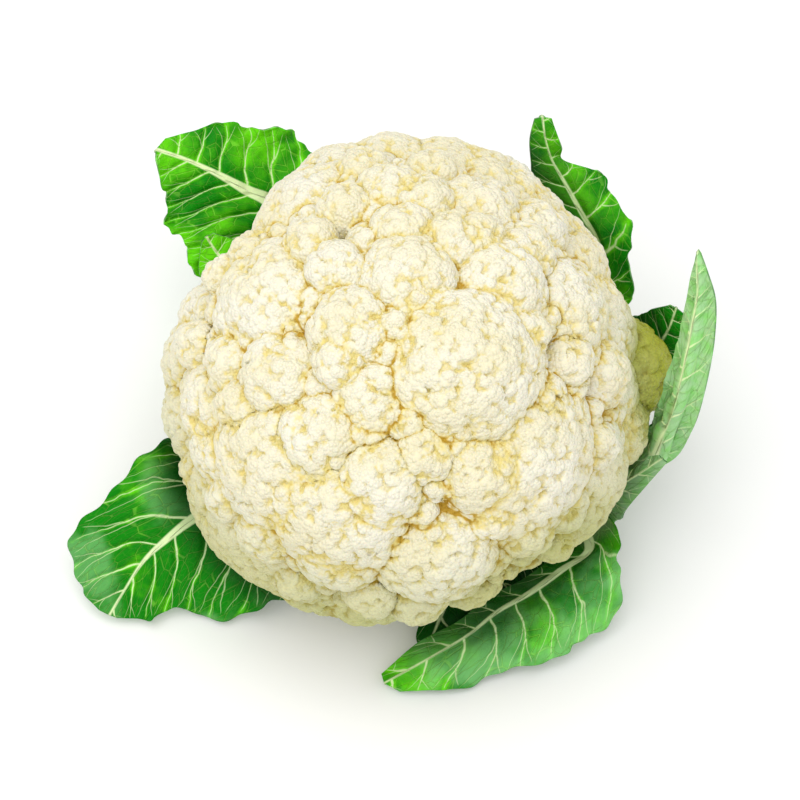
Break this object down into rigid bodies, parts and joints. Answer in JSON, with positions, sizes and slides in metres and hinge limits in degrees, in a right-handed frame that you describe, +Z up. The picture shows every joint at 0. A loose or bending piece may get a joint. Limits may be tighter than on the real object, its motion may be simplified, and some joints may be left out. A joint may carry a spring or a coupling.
{
  "type": "cauliflower",
  "caption": "Whole cauliflower: a domed cream curd of rounded florets on a stout cut stalk, with broad green leaves round it.",
  "frame": {"origin": "middle of the stalk's flat cut face, on which the cauliflower stands", "axes": "+Z up through the middle of the curd, -Y towards the side that the picture shows, +X to that side's right"},
  "size_m": [0.2413, 0.2326, 0.1758],
  "materials": {
    "curd": "granular cream florets, matt",
    "stalk": "pale green, smooth, cut across at the foot",
    "leaf": "waxy green with pale veins"
  },
  "bodies": {
    "root": {"curd": "curd", "stalk": "stalk", "leaf_back_left": "leaf", "leaf_back_left_small": "leaf", "leaf_front_left": "leaf", "leaf_front_under": "leaf", "leaf_front": "leaf", "leaf_right_low": "leaf", "leaf_right": "leaf", "leaf_right_back": "leaf", "leaf_back_right": "leaf", "leaf_back": "leaf"}
  },
  "joints": []
}
